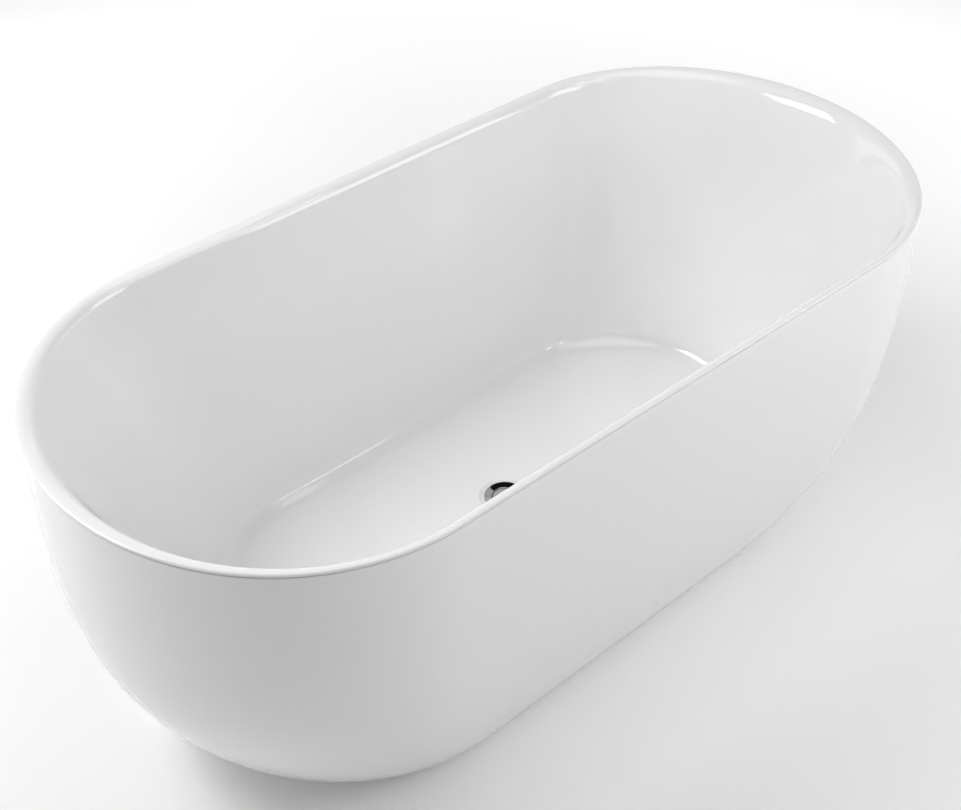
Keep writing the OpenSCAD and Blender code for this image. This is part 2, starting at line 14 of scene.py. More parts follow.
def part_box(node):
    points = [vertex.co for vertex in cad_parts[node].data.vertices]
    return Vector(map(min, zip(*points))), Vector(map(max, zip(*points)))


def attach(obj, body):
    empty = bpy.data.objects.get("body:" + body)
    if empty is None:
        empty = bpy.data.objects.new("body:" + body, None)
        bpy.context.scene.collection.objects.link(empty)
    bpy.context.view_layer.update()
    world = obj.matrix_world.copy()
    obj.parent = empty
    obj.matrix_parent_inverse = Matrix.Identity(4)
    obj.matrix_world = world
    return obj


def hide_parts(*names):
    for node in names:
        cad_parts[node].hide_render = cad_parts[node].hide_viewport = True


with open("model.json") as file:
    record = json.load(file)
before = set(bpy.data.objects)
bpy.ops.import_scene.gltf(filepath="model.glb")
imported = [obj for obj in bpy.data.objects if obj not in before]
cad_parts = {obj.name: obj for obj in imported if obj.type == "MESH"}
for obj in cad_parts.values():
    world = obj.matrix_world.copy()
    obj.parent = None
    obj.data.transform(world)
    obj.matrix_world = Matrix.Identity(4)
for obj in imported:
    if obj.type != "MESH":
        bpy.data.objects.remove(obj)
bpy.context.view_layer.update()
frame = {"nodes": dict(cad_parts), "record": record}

# --- dimensions ---------------------------------------------------------------

SHELL_LOW, SHELL_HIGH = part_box("basin_shell")
SKIRT_TOP_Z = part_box("outer_skirt")[1].z

RIM_A = SHELL_HIGH.x  # half the length at the rim
RIM_B = SHELL_HIGH.y  # half the width at the rim
RIM_S = RIM_A - 0.335  # half the straight part of the rim
TOP_Z = SHELL_HIGH.z
EDGE_R = 0.003  # outer edge of the lip
SIDE_ROLL = (0.020, 0.032)  # width and height of the lip's inner roll
END_ROLL = (0.042, 0.080)
LIP_UNDER_Z = TOP_Z - 0.0045  # flat underside of the lip, over the seam
LIP_UNDER_W = 0.009

BASE_A = 0.571  # skirt where it meets the floor
BASE_B = 0.279
BASE_S = BASE_A - 0.280
END_CURL = 3.9  # how late the skirt's ends and sides curve in
SIDE_CURL = 3.6
SKIRT_T = 0.005
SKIRT_EDGE_R = 0.0015
BASE_FLANGE_W = 0.035  # flange that the skirt stands on, turned inward

SHELL_T = 0.008
UNDER_Z = SHELL_LOW.z  # flat underside of the basin
CORNER_Z = UNDER_Z + SHELL_T  # floor at the foot of the fillet
FLOOR_FALL = 0.002
FLOOR_Z = CORNER_Z - FLOOR_FALL  # floor at the waste
FLOOR_A = 0.500
FLOOR_B = 0.235
FLOOR_S = FLOOR_A - 0.224
FILLET_R = 0.038

RECESS_R = 0.038  # seat of the waste's flange
RECESS_LIP_W = 0.006
RECESS_DEPTH = 0.0025
DRAIN_HOLE_R = 0.0255

AROUND = 384  # points round the bath, the same polar angles in every ring
POLAR = np.arange(AROUND) * 2 * math.pi / AROUND
TURN = 144  # points round a turned part, a multiple of six for the nuts
SHARP_ANGLE = math.radians(35)  # edges that turn by more than this aren't smoothed over


# --- mesh helpers -------------------------------------------------------------


def make_object(name, verts, faces, body, slot, materials):
    """A smooth-shaded mesh that rides on a CAD body, with its sharper edges left sharp."""
    mesh = bpy.data.meshes.new(name)
    mesh.from_pydata([tuple(v) for v in verts], [], [tuple(f) for f in faces])
    mesh.validate()
    mesh.polygons.foreach_set("use_smooth", [True] * len(mesh.polygons))
    mesh.set_sharp_from_angle(angle=SHARP_ANGLE)
    for material in materials:
        mesh.materials.append(material)
    obj = bpy.data.objects.new(name, mesh)
    bpy.context.scene.collection.objects.link(obj)
    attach(obj, body)
    return obj


def grid_faces(rows, columns, closed=False):
    """Quads between successive rings of points; closed joins the last ring to the first."""
    faces = []
    for row in range(rows if closed else rows - 1):
        below = row * columns
        above = (row + 1) % rows * columns
        for column in range(columns):
            after = (column + 1) % columns
            faces.append((below + column, below + after, above + after, above + column))
    return faces


def outward(points, faces):
    """(points, faces) with every face turned outward, whichever way its rings ran."""
    volume = 0.0
    for face in faces:
        corners = points[list(face)]
        fan = np.cross(corners[1:-1], corners[2:])
        volume += float((fan @ corners[0]).sum())
    return points, faces if volume > 0 else [tuple(reversed(face)) for face in faces]


def hoop(rings):
    """A ring-shaped solid whose section runs through every ring and back to the first."""
    return outward(np.vstack(rings), grid_faces(len(rings), len(rings[0]), closed=True))


def capped(rings):
    """A solid whose skin runs through every ring and is capped at both ends."""
    columns = len(rings[0])
    last = (len(rings) - 1) * columns
    faces = grid_faces(len(rings), columns)
    faces.append(tuple(reversed(range(columns))))
    faces.append(tuple(range(last, last + columns)))
    return outward(np.vstack(rings), faces)


def join(parts):
    """Several (points, faces) as one."""
    verts, faces, start = [], [], 0
    for points, sides in parts:
        verts.append(np.asarray(points, float))
        faces += [tuple(start + i for i in side) for side in sides]
        start += len(points)
    return np.vstack(verts), faces


def moved(part, matrix):
    """(points, faces) with its points moved by a 4x4 matrix."""
    points, faces = part
    rotation = np.array(matrix.to_3x3())
    return np.asarray(points) @ rotation.T + np.array(matrix.translation), faces


def at_place(x, y, z=0.0):
    return Matrix.Translation((x, y, z))


def circle(radius, z, columns=TURN):
    """A ring of points round the Z axis; radius may be one number or one for each point."""
    turn = np.arange(columns) * 2 * math.pi / columns
    return np.stack([radius * np.cos(turn), radius * np.sin(turn), np.full(columns, z)], 1)


def turned(profile, columns=TURN):
    """A ring-shaped solid from a closed (radius, height) profile."""
    return hoop([circle(r, z, columns) for r, z in profile])


def arc(centre, radii, start_deg, end_deg, steps):
    """(x, y) points along an elliptical arc."""
    angles = np.radians(np.linspace(start_deg, end_deg, steps + 1))
    return [(centre[0] + radii[0] * math.cos(t), centre[1] + radii[1] * math.sin(t)) for t in angles]


def rounded_square(height, corner_r, width=None, steps=5):
    """(across, up) points of a rectangle with rounded corners, centred on the origin."""
    half_w, half_h = (width or height) / 2, height / 2
    points = []
    for quarter, (x, y) in enumerate(((1, 1), (-1, 1), (-1, -1), (1, -1))):
        centre = (x * (half_w - corner_r), y * (half_h - corner_r))
        points += arc(centre, (corner_r, corner_r), 90 * quarter, 90 * quarter + 90, steps)
    return np.array(points)


def section_at(points, x):
    """A cross-section's points placed at a distance along X."""
    return np.column_stack([np.full(len(points), x), points])


# --- the bath's outline ---------------------------------------------------------


def oblong_reach(a, b, s):
    """Distance from the centre to an oblong with half-elliptical ends, at each polar angle."""
    along, across = np.abs(np.cos(POLAR)), np.abs(np.sin(POLAR))
    end = a - s
    p = (along / end) ** 2 + (across / b) ** 2
    q = s * along / end**2
    r = (s / end) ** 2 - 1
    on_end = (q + np.sqrt(np.maximum(q * q - p * r, 0))) / p
    on_side = b / np.maximum(across, 1e-9)
    return np.where(on_side * along <= s, on_side, on_end)


def ring(reach, z):
    return np.stack([reach * np.cos(POLAR), reach * np.sin(POLAR), np.full(AROUND, z)], 1)


def oblong(a, b, s, z):
    return ring(oblong_reach(a, b, s), z)


def rim_ring(inset, z):
    return oblong(RIM_A - inset, RIM_B - inset, RIM_S, z)


class Wall:
    """Section of the basin in one plane: straight wall, fillet below and rolled lip above."""

    def __init__(self, half_rim, half_floor, roll):
        self.half_rim, self.half_floor = half_rim, half_floor
        self.roll_w, self.roll_h = roll
        self.roll_z = TOP_Z - self.roll_h
        u = (half_rim - EDGE_R - half_floor) / self.roll_w
        v = (CORNER_Z - self.roll_z) / self.roll_h
        self.roll_start = math.atan2(v, u) + math.acos(1 / math.hypot(u, v))
        self.top_z = self.roll_z + self.roll_h * math.sin(self.roll_start)
        top_reach = half_rim - EDGE_R - self.roll_w * math.cos(self.roll_start)
        self.lean = math.atan((top_reach - half_floor) / (self.top_z - CORNER_Z))
        self.fillet_reach = half_floor - FILLET_R * math.tan((math.pi / 2 - self.lean) / 2)

    def inner(self, z):
        """How far the inner face is from the centre plane at height z."""
        below = CORNER_Z + FILLET_R - z
        if z > self.top_z:
            over = min(1.0, (z - self.roll_z) / self.roll_h)
            return self.half_rim - EDGE_R - self.roll_w * math.sqrt(1 - over * over)
        if below < FILLET_R * math.sin(self.lean):
            return self.half_floor + (z - CORNER_Z) * math.tan(self.lean)
        return self.fillet_reach + math.sqrt(max(0.0, FILLET_R**2 - below**2))

    def back(self, z):
        """The same for the back of the shell."""
        radius = FILLET_R + SHELL_T
        below = CORNER_Z + FILLET_R - z
        if below < radius * math.sin(self.lean):
            straight = self.half_floor + (z - CORNER_Z) * math.tan(self.lean)
            return straight + SHELL_T / math.cos(self.lean)
        return self.fillet_reach + math.sqrt(max(0.0, radius**2 - below**2))


END_WALL = Wall(RIM_A, FLOOR_A, END_ROLL)
SIDE_WALL = Wall(RIM_B, FLOOR_B, SIDE_ROLL)


def basin_straight(z):
    """Half the straight part of the basin's outline at height z."""
    rise = (z - CORNER_Z) / (END_WALL.top_z - CORNER_Z)
    return FLOOR_S + (RIM_S - FLOOR_S) * max(0.0, min(1.0, rise))


def inner_ring(z):
    return oblong(END_WALL.inner(z), SIDE_WALL.inner(z), basin_straight(z), z)


def back_ring(z):
    return oblong(END_WALL.back(z), SIDE_WALL.back(z), basin_straight(z), z)


def smooth_step(t):
    return t * t * (3 - 2 * t)


# --- basin --------------------------------------------------------------------


def recess_rings(steps=10):
    """Drain hole, flat seat and the soft slope up to the floor."""
    seat_z = FLOOR_Z - RECESS_DEPTH
    hole_edge_r = 0.0006
    rings = [ring(np.full(AROUND, DRAIN_HOLE_R), seat_z - hole_edge_r)]
    rings += [ring(np.full(AROUND, DRAIN_HOLE_R + hole_edge_r), seat_z)]
    for t in np.linspace(0, 1, steps + 1):
        reach = np.full(AROUND, RECESS_R + RECESS_LIP_W * t)
        rings.append(ring(reach, seat_z + RECESS_DEPTH * smooth_step(t)))
    return rings


def dish_rings(steps=40):
    """The floor, which turns from the recess's circle into the oblong at the foot of the fillet."""
    inner = np.full(AROUND, RECESS_R + RECESS_LIP_W)
    outer = oblong_reach(END_WALL.inner(CORNER_Z), SIDE_WALL.inner(CORNER_Z), FLOOR_S)
    return [
        ring(inner + (outer - inner) * t, FLOOR_Z + FLOOR_FALL * smooth_step(t))
        for t in np.linspace(0, 1, steps + 1)[1:]
    ]


def wall_rings(fillet_steps=24, wall_steps=36, roll_steps=26, edge_steps=8):
    """Fillet, wall, rolled lip, outer edge and underside of the lip, going up and out."""
    lean, roll_start = SIDE_WALL.lean, SIDE_WALL.roll_start
    rings = []
    for phi in np.linspace(math.pi / 2, lean, fillet_steps + 1)[1:]:
        rings.append(inner_ring(CORNER_Z + FILLET_R * (1 - math.sin(phi))))
    fillet_top = CORNER_Z + FILLET_R * (1 - math.sin(lean))
    for z in np.linspace(fillet_top, SIDE_WALL.top_z, wall_steps + 1)[1:]:
        rings.append(inner_ring(z))
    for angle in np.linspace(roll_start, math.pi / 2, roll_steps + 1)[1:]:
        rings.append(inner_ring(SIDE_WALL.roll_z + SIDE_WALL.roll_h * math.sin(angle)))
    for t in np.linspace(0, math.pi / 2, edge_steps + 1)[1:]:
        rings.append(rim_ring(EDGE_R * (1 - math.sin(t)), TOP_Z - EDGE_R * (1 - math.cos(t))))
    lower_edge = 0.001
    for inset, z in arc((lower_edge, LIP_UNDER_Z + lower_edge), (lower_edge, lower_edge), 180, 270, 4):
        rings.append(rim_ring(inset, z))
    rings.append(rim_ring(LIP_UNDER_W, LIP_UNDER_Z))
    return rings


def back_rings(wall_steps=10, fillet_steps=8):
    """The shell's back, going down to the drain hole."""
    lip_web_h = 0.013  # solid part between the lip's underside and the free back of the wall
    back_top = LIP_UNDER_Z - lip_web_h
    radius = FILLET_R + SHELL_T
    fillet_top = CORNER_Z + FILLET_R - radius * math.sin(SIDE_WALL.lean)
    rings = [back_ring(z) for z in np.linspace(back_top, fillet_top, wall_steps + 1)]
    for phi in np.linspace(SIDE_WALL.lean, math.pi / 2, fillet_steps + 1)[1:]:
        rings.append(back_ring(CORNER_Z + FILLET_R - radius * math.sin(phi)))
    rings.append(ring(np.full(AROUND, 2 * RECESS_R), UNDER_Z))
    rings.append(ring(np.full(AROUND, DRAIN_HOLE_R), UNDER_Z))
    return rings


def paint_back(obj, first_row):
    """Gives the faces from one ring on the object's second material."""
    for polygon in obj.data.polygons[first_row * AROUND :]:
        polygon.material_index = 1


def build_basin(acrylic, fibre):
    front = recess_rings() + dish_rings() + wall_rings()
    back = back_rings()
    verts, faces = hoop(front + back)
    basin = make_object("basin", verts, faces, "bath", "white_acrylic", [acrylic, fibre])
    paint_back(basin, len(front) - 1)
    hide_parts("basin_shell")


# --- skirt --------------------------------------------------------------------


def skirt_ring(z, inner):
    """A ring on the skirt's outer face, or on its inner face."""
    rest = 1 - z / TOP_Z
    ends, sides = rest**END_CURL, rest**SIDE_CURL
    end_rate = (RIM_A - BASE_A) * END_CURL / TOP_Z * rest ** (END_CURL - 1)
    side_rate = (RIM_B - BASE_B) * SIDE_CURL / TOP_Z * rest ** (SIDE_CURL - 1)
    return oblong(
        RIM_A - (RIM_A - BASE_A) * ends - inner * SKIRT_T * math.hypot(1, end_rate),
        RIM_B - (RIM_B - BASE_B) * sides - inner * SKIRT_T * math.hypot(1, side_rate),
        RIM_S - (RIM_S - BASE_S) * ends,
        z,
    )


def build_skirt(acrylic, fibre):
    flange_w = LIP_UNDER_W - 0.0005
    shoulder_z = SKIRT_TOP_Z - SKIRT_EDGE_R
    outer_steps, inner_steps = 72, 20
    front = [rim_ring(flange_w, SKIRT_TOP_Z)]
    for inset, z in arc((SKIRT_EDGE_R, shoulder_z), (SKIRT_EDGE_R, SKIRT_EDGE_R), 90, 180, 4)[:-1]:
        front.append(rim_ring(inset, z))
    for t in np.linspace(1, 0, outer_steps + 1):
        front.append(skirt_ring(SKIRT_EDGE_R + (shoulder_z - SKIRT_EDGE_R) * t**1.3, inner=0))
    front.append(oblong(BASE_A - SKIRT_EDGE_R, BASE_B - SKIRT_EDGE_R, BASE_S, 0.0))
    back = [
        oblong(BASE_A - BASE_FLANGE_W, BASE_B - BASE_FLANGE_W, BASE_S, 0.0),
        oblong(BASE_A - BASE_FLANGE_W, BASE_B - BASE_FLANGE_W, BASE_S, SKIRT_T),
    ]
    for t in np.linspace(0, 1, inner_steps + 1):
        back.append(skirt_ring(SKIRT_T + (SKIRT_TOP_Z - 2 * SKIRT_T) * t**1.4, inner=1))
    back.append(rim_ring(flange_w, SKIRT_TOP_Z - SKIRT_T))
    verts, faces = hoop(front + back)
    skirt = make_object("skirt", verts, faces, "bath", "white_acrylic", [acrylic, fibre])
    paint_back(skirt, len(front) - 1)
    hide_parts("outer_skirt")


def build_bond(bond):
    """The bonding bead in the seam, slightly hollow where it shows."""
    set_back, inner, hollow = 0.0010, LIP_UNDER_W - 0.001, 0.0006
    middle = (LIP_UNDER_Z + SKIRT_TOP_Z) / 2
    half = (LIP_UNDER_Z - SKIRT_TOP_Z) / 2
    rings = [rim_ring(inner, LIP_UNDER_Z)]
    for inset, z in arc((set_back, middle), (hollow, half), 90, -90, 8):
        rings.append(rim_ring(inset, z))
    rings.append(rim_ring(inner, SKIRT_TOP_Z))
    verts, faces = hoop(rings)
    bead = make_object("seam_bead", verts, faces, "bath", "bond", [bond])
    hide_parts("rim_bond")


# --- waste --------------------------------------------------------------------

WASTE_LOW, WASTE_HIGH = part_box("waste_body")
FLANGE_R = WASTE_HIGH.x
FLANGE_TOP = WASTE_HIGH.z
FLANGE_Z = FLANGE_TOP - 0.0025  # underside of the flange
FLANGE_EDGE_R = 0.0012
TAIL_Z = WASTE_LOW.z
TAIL_R = 0.0214  # bore of the tail
SEAT_R = 0.0194  # narrowest part of the throat
THROAT_R = 0.0219
THREAD_R = 0.0239
THREAD_PITCH = 0.002309
THREAD_DEPTH = 0.0012
HUB_Z = 0.074  # spider inside the tail, which carries the cartridge
HUB_H = 0.006
HUB_R = 0.008
HUB_HOLE_R = 0.005

CAP_LOW, CAP_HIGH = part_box("plug_cap")
CAP_R = CAP_HIGH.x
CAP_TOP = CAP_HIGH.z

BACKNUT_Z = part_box("waste_backnut")[0].z
BACKNUT_H = 0.010
BACKNUT_AF = 0.060  # across its flats
BACKNUT_BORE_R = 0.0240


def thread_rings(radius, depth, pitch, low, high, columns, per_pitch=8):
    """Rings of a screw thread, which fades in and out over one pitch at its ends."""
    turn = np.arange(columns) / columns
    rings = []
    for z in np.linspace(low, high, max(2, round((high - low) / pitch * per_pitch)) + 1):
        fade = max(0.0, min(1.0, (z - low) / pitch, (high - z) / pitch))
        groove = np.abs(2 * np.mod(z / pitch - turn, 1.0) - 1)
        rings.append(circle(radius - depth * fade * groove, z, columns))
    return rings


def spider_part():
    """Hub and four arms that hold the push cartridge inside the tail."""
    chamfer = 0.0004
    hub = turned([
        (HUB_HOLE_R, HUB_Z), (HUB_R - chamfer, HUB_Z), (HUB_R, HUB_Z + chamfer),
        (HUB_R, HUB_Z + HUB_H - chamfer), (HUB_R - chamfer, HUB_Z + HUB_H), (HUB_HOLE_R, HUB_Z + HUB_H),
    ])
    arms = []
    inner, outer = HUB_R - 0.0005, TAIL_R + 0.0005
    section = rounded_square(HUB_H, chamfer, width=0.003)
    arm = capped([section_at(section, inner), section_at(section, outer)])
    for turn in range(4):
        matrix = Matrix.Rotation(turn * math.pi / 2, 4, "Z") @ at_place(0, 0, HUB_Z + HUB_H / 2)
        arms.append(moved(arm, matrix))
    return join([hub, *arms])


def waste_rings():
    """Threaded tail, flange with a rounded edge, dished face, throat and seat for the seal."""
    dish_r = THROAT_R + 0.0008
    dish_w = FLANGE_R - 0.002 - dish_r
    dish_depth = 0.0019
    relief_low, relief_high = 0.0960, 0.0980
    relief_r = THREAD_R - 0.0009
    rings = [circle(TAIL_R + 0.0004, TAIL_Z)]
    rings += thread_rings(THREAD_R, THREAD_DEPTH, THREAD_PITCH, TAIL_Z, relief_low, TURN)
    rings += [circle(relief_r, relief_low), circle(relief_r, relief_high)]
    rings += thread_rings(THREAD_R, THREAD_DEPTH, THREAD_PITCH, relief_high, FLANGE_Z, TURN)
    profile = [(FLANGE_R - 0.0005, FLANGE_Z), (FLANGE_R, FLANGE_Z + 0.0005)]
    edge = (FLANGE_R - FLANGE_EDGE_R, FLANGE_TOP - FLANGE_EDGE_R)
    profile += arc(edge, (FLANGE_EDGE_R, FLANGE_EDGE_R), 0, 90, 8)
    for u in np.linspace(1, 0, 9):
        profile.append((dish_r + dish_w * u, FLANGE_TOP - dish_depth * (1 - u) ** 1.1))
    lip = (dish_r, FLANGE_TOP - dish_depth - 0.0008)
    profile += arc(lip, (0.0008, 0.0008), 90, 180, 5)[1:]
    profile += [
        (THROAT_R, FLANGE_Z - 0.0038), (SEAT_R, FLANGE_Z - 0.0078),
        (SEAT_R, FLANGE_Z - 0.0100), (TAIL_R, FLANGE_Z - 0.0125),
    ]
    return rings + [circle(r, z) for r, z in profile]


def build_waste(chrome):
    verts, faces = join([hoop(waste_rings()), spider_part()])
    waste = make_object("waste_flange", verts, faces, "bath", "chrome", [chrome])
    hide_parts("waste_body")


def build_cap(chrome):
    """The domed plug cap, with its neck for the seal and its hub for the stem."""
    stem_hole_r, hub_r, neck_r, groove_r = 0.00355, 0.006, 0.0175, 0.016
    edge_r, dome, plate_h, seal_h, neck_h = 0.0012, 0.0005, 0.0034, 0.003, 0.002
    seal_top = CAP_TOP - plate_h
    neck_z = seal_top - seal_h - neck_h
    profile = [
        (stem_hole_r, CAP_TOP - 0.0046), (stem_hole_r, CAP_LOW.z), (hub_r, CAP_LOW.z), (hub_r, neck_z),
        (neck_r, neck_z), (neck_r, neck_z + neck_h), (groove_r, neck_z + neck_h), (groove_r, seal_top),
        (CAP_R - 0.0004, seal_top), (CAP_R, seal_top + 0.0004),
    ]
    profile += arc((CAP_R - edge_r, CAP_TOP - dome - edge_r), (edge_r, edge_r), 0, 90, 10)
    for u in np.linspace(1, 0.01, 14)[1:]:
        profile.append(((CAP_R - edge_r) * u, CAP_TOP - dome * u * u))
    verts, faces = capped([circle(r, z) for r, z in profile])
    cap = make_object("waste_cap", verts, faces, "plug", "chrome", [chrome])
    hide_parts("plug_cap")


def build_backnut(brass):
    nut = nut_part(BACKNUT_AF, BACKNUT_BORE_R, BACKNUT_H, TURN)
    verts, faces = moved(nut, at_place(0, 0, BACKNUT_Z))
    backnut = make_object("brass_backnut", verts, faces, "bath", "brass", [brass])
    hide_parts("waste_backnut")


# --- nuts and screws ------------------------------------------------------------

NUT_COLUMNS = 48
STUD_R = 0.006
STUD_HOLE_R = STUD_R + 0.00005  # in the nuts and the pads
STUD_PITCH = 0.00175
STUD_DEPTH = 0.0009
NUT_AF = 0.019
SCREW_COLUMNS = 24
BOARD_SCREW_R = 0.00245
SMALL_SCREW_R = 0.0019


def hex_reach(across_flats, columns):
    """Distance from the centre to a hexagon's side at each polar angle, with a corner at angle 0."""
    turn = np.mod(np.arange(columns) * 2 * math.pi / columns, math.pi / 3) - math.pi / 6
    return across_flats / 2 / np.cos(turn)


def hex_rings(across_flats, low, high, columns, steps=5):
    """Rings of a hexagon whose corners are turned off at both ends."""
    reach = hex_reach(across_flats, columns)
    face_r = 0.97 * across_flats / 2
    slope = math.tan(math.radians(60))
    depth = (reach.max() - face_r) / slope
    drops = np.linspace(0, depth, steps)
    low_end = [circle(np.minimum(reach, face_r + slope * d), low + d, columns) for d in drops]
    high_end = [circle(np.minimum(reach, face_r + slope * d), high - d, columns) for d in drops[::-1]]
    return low_end + high_end


def nut_part(across_flats, bore_r, height, columns):
    """A hexagon nut standing on z = 0."""
    chamfer = 0.0006
    bore = [
        circle(bore_r + chamfer, height, columns), circle(bore_r, height - chamfer, columns),
        circle(bore_r, chamfer, columns), circle(bore_r + chamfer, 0, columns),
    ]
    return hoop(hex_rings(across_flats, 0, height, columns) + bore)


def screw_part(head_r, head_h, shank_r, length):
    """A button-headed screw pointing down from z = 0, with a hexagon socket in its head."""
    columns = SCREW_COLUMNS
    socket = hex_reach(head_r, columns)
    crown = arc((0.62 * head_r, 0.2 * head_h), (0.38 * head_r, 0.8 * head_h), 0, 90, 6)
    rings = [circle(0.3 * shank_r, -length, columns), circle(shank_r, -length + shank_r, columns)]
    rings += [circle(shank_r, 0, columns), circle(0.97 * head_r, 0, columns)]
    rings += [circle(r, z, columns) for r, z in crown]
    rings += [circle(socket, head_h, columns), circle(0.95 * socket, 0.45 * head_h, columns)]
    return capped(rings)


def foot_places():
    """Centre of each levelling foot, by its number in the frame."""
    places = {}
    for number in range(1, 7):
        low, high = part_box(f"foot_pad_{number}")
        places[number] = (low + high) / 2
    return places


def build_studs(zinc):
    """Threaded studs with a hexagon for the spanner just above the pad."""
    low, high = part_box("foot_stud_1")
    hex_low, hex_high, tip = 0.0182, 0.0252, 0.0015
    rings = [circle(STUD_R - 0.001, low.z, NUT_COLUMNS), circle(STUD_R, low.z + 0.001, NUT_COLUMNS)]
    rings += [circle(STUD_R, hex_low, NUT_COLUMNS)]
    rings += hex_rings(NUT_AF - 0.002, hex_low, hex_high, NUT_COLUMNS)
    rings += thread_rings(STUD_R, STUD_DEPTH, STUD_PITCH, hex_high, high.z - tip, NUT_COLUMNS)
    rings += [circle(STUD_R - tip, high.z, NUT_COLUMNS)]
    stud = capped(rings)
    for number, place in foot_places().items():
        verts, faces = moved(stud, at_place(place.x, place.y))
        name = f"levelling_stud_{number}"
        piece = make_object(name, verts, faces, f"foot_{number}_stud", "zinc_steel", [zinc])
        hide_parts(f"foot_stud_{number}")


def build_pads(plastic):
    """Round foot pads that sweep up in a hollow curve to the neck round the stud."""
    low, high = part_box("foot_pad_1")
    radius, height = (high.x - low.x) / 2, high.z
    flat_h, neck_r, socket_z = 0.003, 0.013, 0.0053
    profile = [(STUD_HOLE_R, socket_z), (STUD_HOLE_R, height)]
    profile += arc((neck_r - 0.001, height - 0.001), (0.001, 0.001), 90, 0, 4)
    profile += [(neck_r, height - 0.004)]
    hollow = (radius - 0.004 - neck_r, height - 0.004 - flat_h - 0.001)
    profile += arc((radius - 0.004, height - 0.004), hollow, 180, 270, 10)[1:]
    profile += arc((radius - 0.001, flat_h), (0.001, 0.001), 90, 0, 4)
    profile += arc((radius - 0.001, 0.001), (0.001, 0.001), 0, -90, 4)
    body = capped([circle(r, z) for r, z in profile])
    for number, place in foot_places().items():
        verts, faces = moved(body, at_place(place.x, place.y))
        name = f"foot_cup_{number}"
        piece = make_object(name, verts, faces, f"foot_{number}_pad", "black_plastic", [plastic])
        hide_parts(f"foot_pad_{number}")


def build_stud_nuts(paint, zinc):
    """Weld nuts under the rails with their weld beads, and locknuts against them."""
    low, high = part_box("foot_weld_nuts")
    lock_low, lock_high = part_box("foot_locknuts")
    weld = nut_part(NUT_AF, STUD_HOLE_R, high.z - low.z, NUT_COLUMNS)
    lock = nut_part(NUT_AF, STUD_HOLE_R, lock_high.z - lock_low.z, NUT_COLUMNS)
    bead_r = 0.0011
    bead_z = high.z - 1.2 * bead_r
    reach = hex_reach(NUT_AF, NUT_COLUMNS) + bead_r * 0.3
    ripple = 1 + 0.18 * np.cos(np.arange(NUT_COLUMNS) * math.pi)
    bead = hoop([
        circle(reach + bead_r * ripple * math.cos(a), bead_z + bead_r * math.sin(a), NUT_COLUMNS)
        for a in np.linspace(0, 2 * math.pi, 8, endpoint=False)
    ])
    welds, locks = [], []
    lock_turn = Matrix.Rotation(math.radians(15), 4, "Z")
    for place in foot_places().values():
        welds += [moved(weld, at_place(place.x, place.y, low.z)), moved(bead, at_place(place.x, place.y))]
        locks.append(moved(lock, at_place(place.x, place.y, lock_low.z) @ lock_turn))
    piece = make_object("weld_nuts", *join(welds), "bath", "frame_paint", [paint])
    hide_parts("foot_weld_nuts")
    piece = make_object("lock_nuts", *join(locks), "bath", "zinc_steel", [zinc])
    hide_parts("foot_locknuts")


# --- frame --------------------------------------------------------------------

RAIL_LOW, RAIL_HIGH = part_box("rail_left")
TUBE_W = RAIL_HIGH.z - RAIL_LOW.z
TUBE_WALL = 0.0015
TUBE_CORNER_R = 0.0025
RAIL_Y = (RAIL_LOW.y + RAIL_HIGH.y) / 2
RAIL_Z = RAIL_LOW.z
RAIL_HALF = RAIL_HIGH.x
BAR_X = (-0.400, -0.140, 0.140, 0.400)
BOARD_SCREW_X = (-0.300, -0.070, 0.070, 0.300)
BRACKET_X = 0.250
BRACKET_T = 0.003
SCREW_GAP = 0.020  # distance between the two screws of one bracket leg


def tube_part(length):
    """A square tube along X with rounded corners."""
    outer = rounded_square(TUBE_W, TUBE_CORNER_R)
    inner = rounded_square(TUBE_W - 2 * TUBE_WALL, TUBE_CORNER_R - TUBE_WALL)
    half = length / 2
    ends = [section_at(outer, -half), section_at(outer, half)]
    return hoop(ends + [section_at(inner, half), section_at(inner, -half)])


def weld_part():
    """A rippled bead round a crossbar's end, flattened where the board lies on it."""
    bead_r, ripples = 0.0017, 14
    path = rounded_square(TUBE_W, TUBE_CORNER_R, steps=14)
    away = path / np.linalg.norm(path, axis=1, keepdims=True)
    ripple = 1 + 0.12 * np.cos(np.arange(len(path)) * 2 * math.pi * ripples / len(path))
    rings = []
    for a in np.linspace(0, 2 * math.pi, 8, endpoint=False):
        points = path + away * (bead_r * ripple * math.cos(a))[:, None]
        points[:, 1] = np.minimum(points[:, 1], TUBE_W / 2 - 0.0001)
        rings.append(np.column_stack([bead_r * ripple * math.sin(a), points]))
    return hoop(rings)


def rail_holes(side):
    """Cylinders where the studs and both kinds of screw go through a rail."""
    stud, board, bracket = STUD_R + 0.0005, BOARD_SCREW_R + 0.0001, SMALL_SCREW_R + 0.00005
    below, middle, above = RAIL_Z - 0.001, RAIL_Z + TUBE_W / 2, RAIL_Z + TUBE_W + 0.001
    holes = []
    for place in foot_places().values():
        if place.y * side > 0:
            cutter = capped([circle(stud, below, NUT_COLUMNS), circle(stud, middle, NUT_COLUMNS)])
            holes.append(moved(cutter, at_place(place.x, place.y)))
    cutter = capped([circle(board, below, SCREW_COLUMNS), circle(board, above, SCREW_COLUMNS)])
    holes += [moved(cutter, at_place(x, side * RAIL_Y)) for x in BOARD_SCREW_X]
    cutter = capped([circle(bracket, 0, SCREW_COLUMNS), circle(bracket, TUBE_W, SCREW_COLUMNS)])
    sideways = Matrix.Rotation(-side * math.pi / 2, 4, "X")
    for x in (-BRACKET_X, BRACKET_X):
        for dx in (-SCREW_GAP / 2, SCREW_GAP / 2):
            holes.append(moved(cutter, at_place(x + dx, side * RAIL_Y, middle) @ sideways))
    return holes


